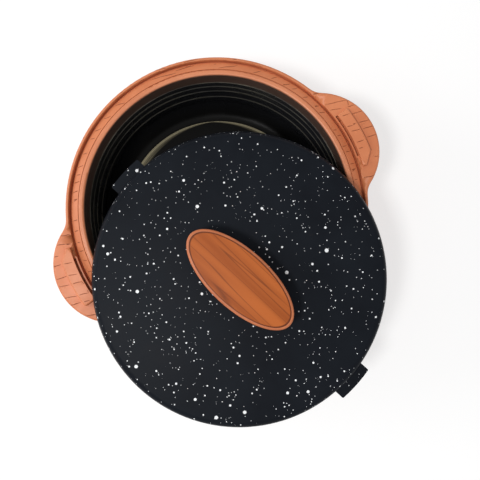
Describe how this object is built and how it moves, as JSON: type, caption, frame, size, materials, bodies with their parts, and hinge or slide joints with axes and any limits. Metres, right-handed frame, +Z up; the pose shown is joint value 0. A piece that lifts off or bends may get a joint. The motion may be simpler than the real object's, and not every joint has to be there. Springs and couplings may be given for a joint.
{
  "type": "insulated chapati casserole",
  "caption": "Round insulated casserole with ears and a dark steel bowl; its speckled twist-lock lid with an oval knob lies displaced on the rim and lifts off.",
  "frame": {"origin": "on the base's own axis, at the table that its foot ring stands on", "axes": "+Z up; the two ears lie along X; the displaced lid lies towards -Y and -X"},
  "size_m": [0.281, 0.2968, 0.1335],
  "materials": {
    "terracotta": "satin terracotta plastic with carved wood-grain lines",
    "dark_bowl": "spun steel sheet, near-black glossy lining",
    "speckled_plastic": "matte blue-black plastic with fine white speckles",
    "wood_look": "satin wood-look plastic with lengthwise grain",
    "black_plastic": "moulded black",
    "foam": "rigid insulating foam, hidden inside",
    "screw_steel": "zinc-plated"
  },
  "bodies": {
    "base": {"outer_body": "terracotta", "mouth_collar": "terracotta", "inner_bowl": "dark_bowl", "base_foam": "foam", "base_cover": "terracotta", "foam_plug": "black_plastic"},
    "lid": {"lid_cover": "speckled_plastic", "lid_liner": "black_plastic", "lid_foam": "foam", "knob_seat": "black_plastic", "knob_shell": "terracotta", "knob_inlay": "wood_look", "knob_screws": "screw_steel", "knob_washers": "screw_steel"}
  },
  "joints": [
    {"name": "lid_lift", "type": "slide", "parent": "base", "child": "lid", "axis": [0, 0, 1], "range_m": [0, 0.15]}
  ]
}
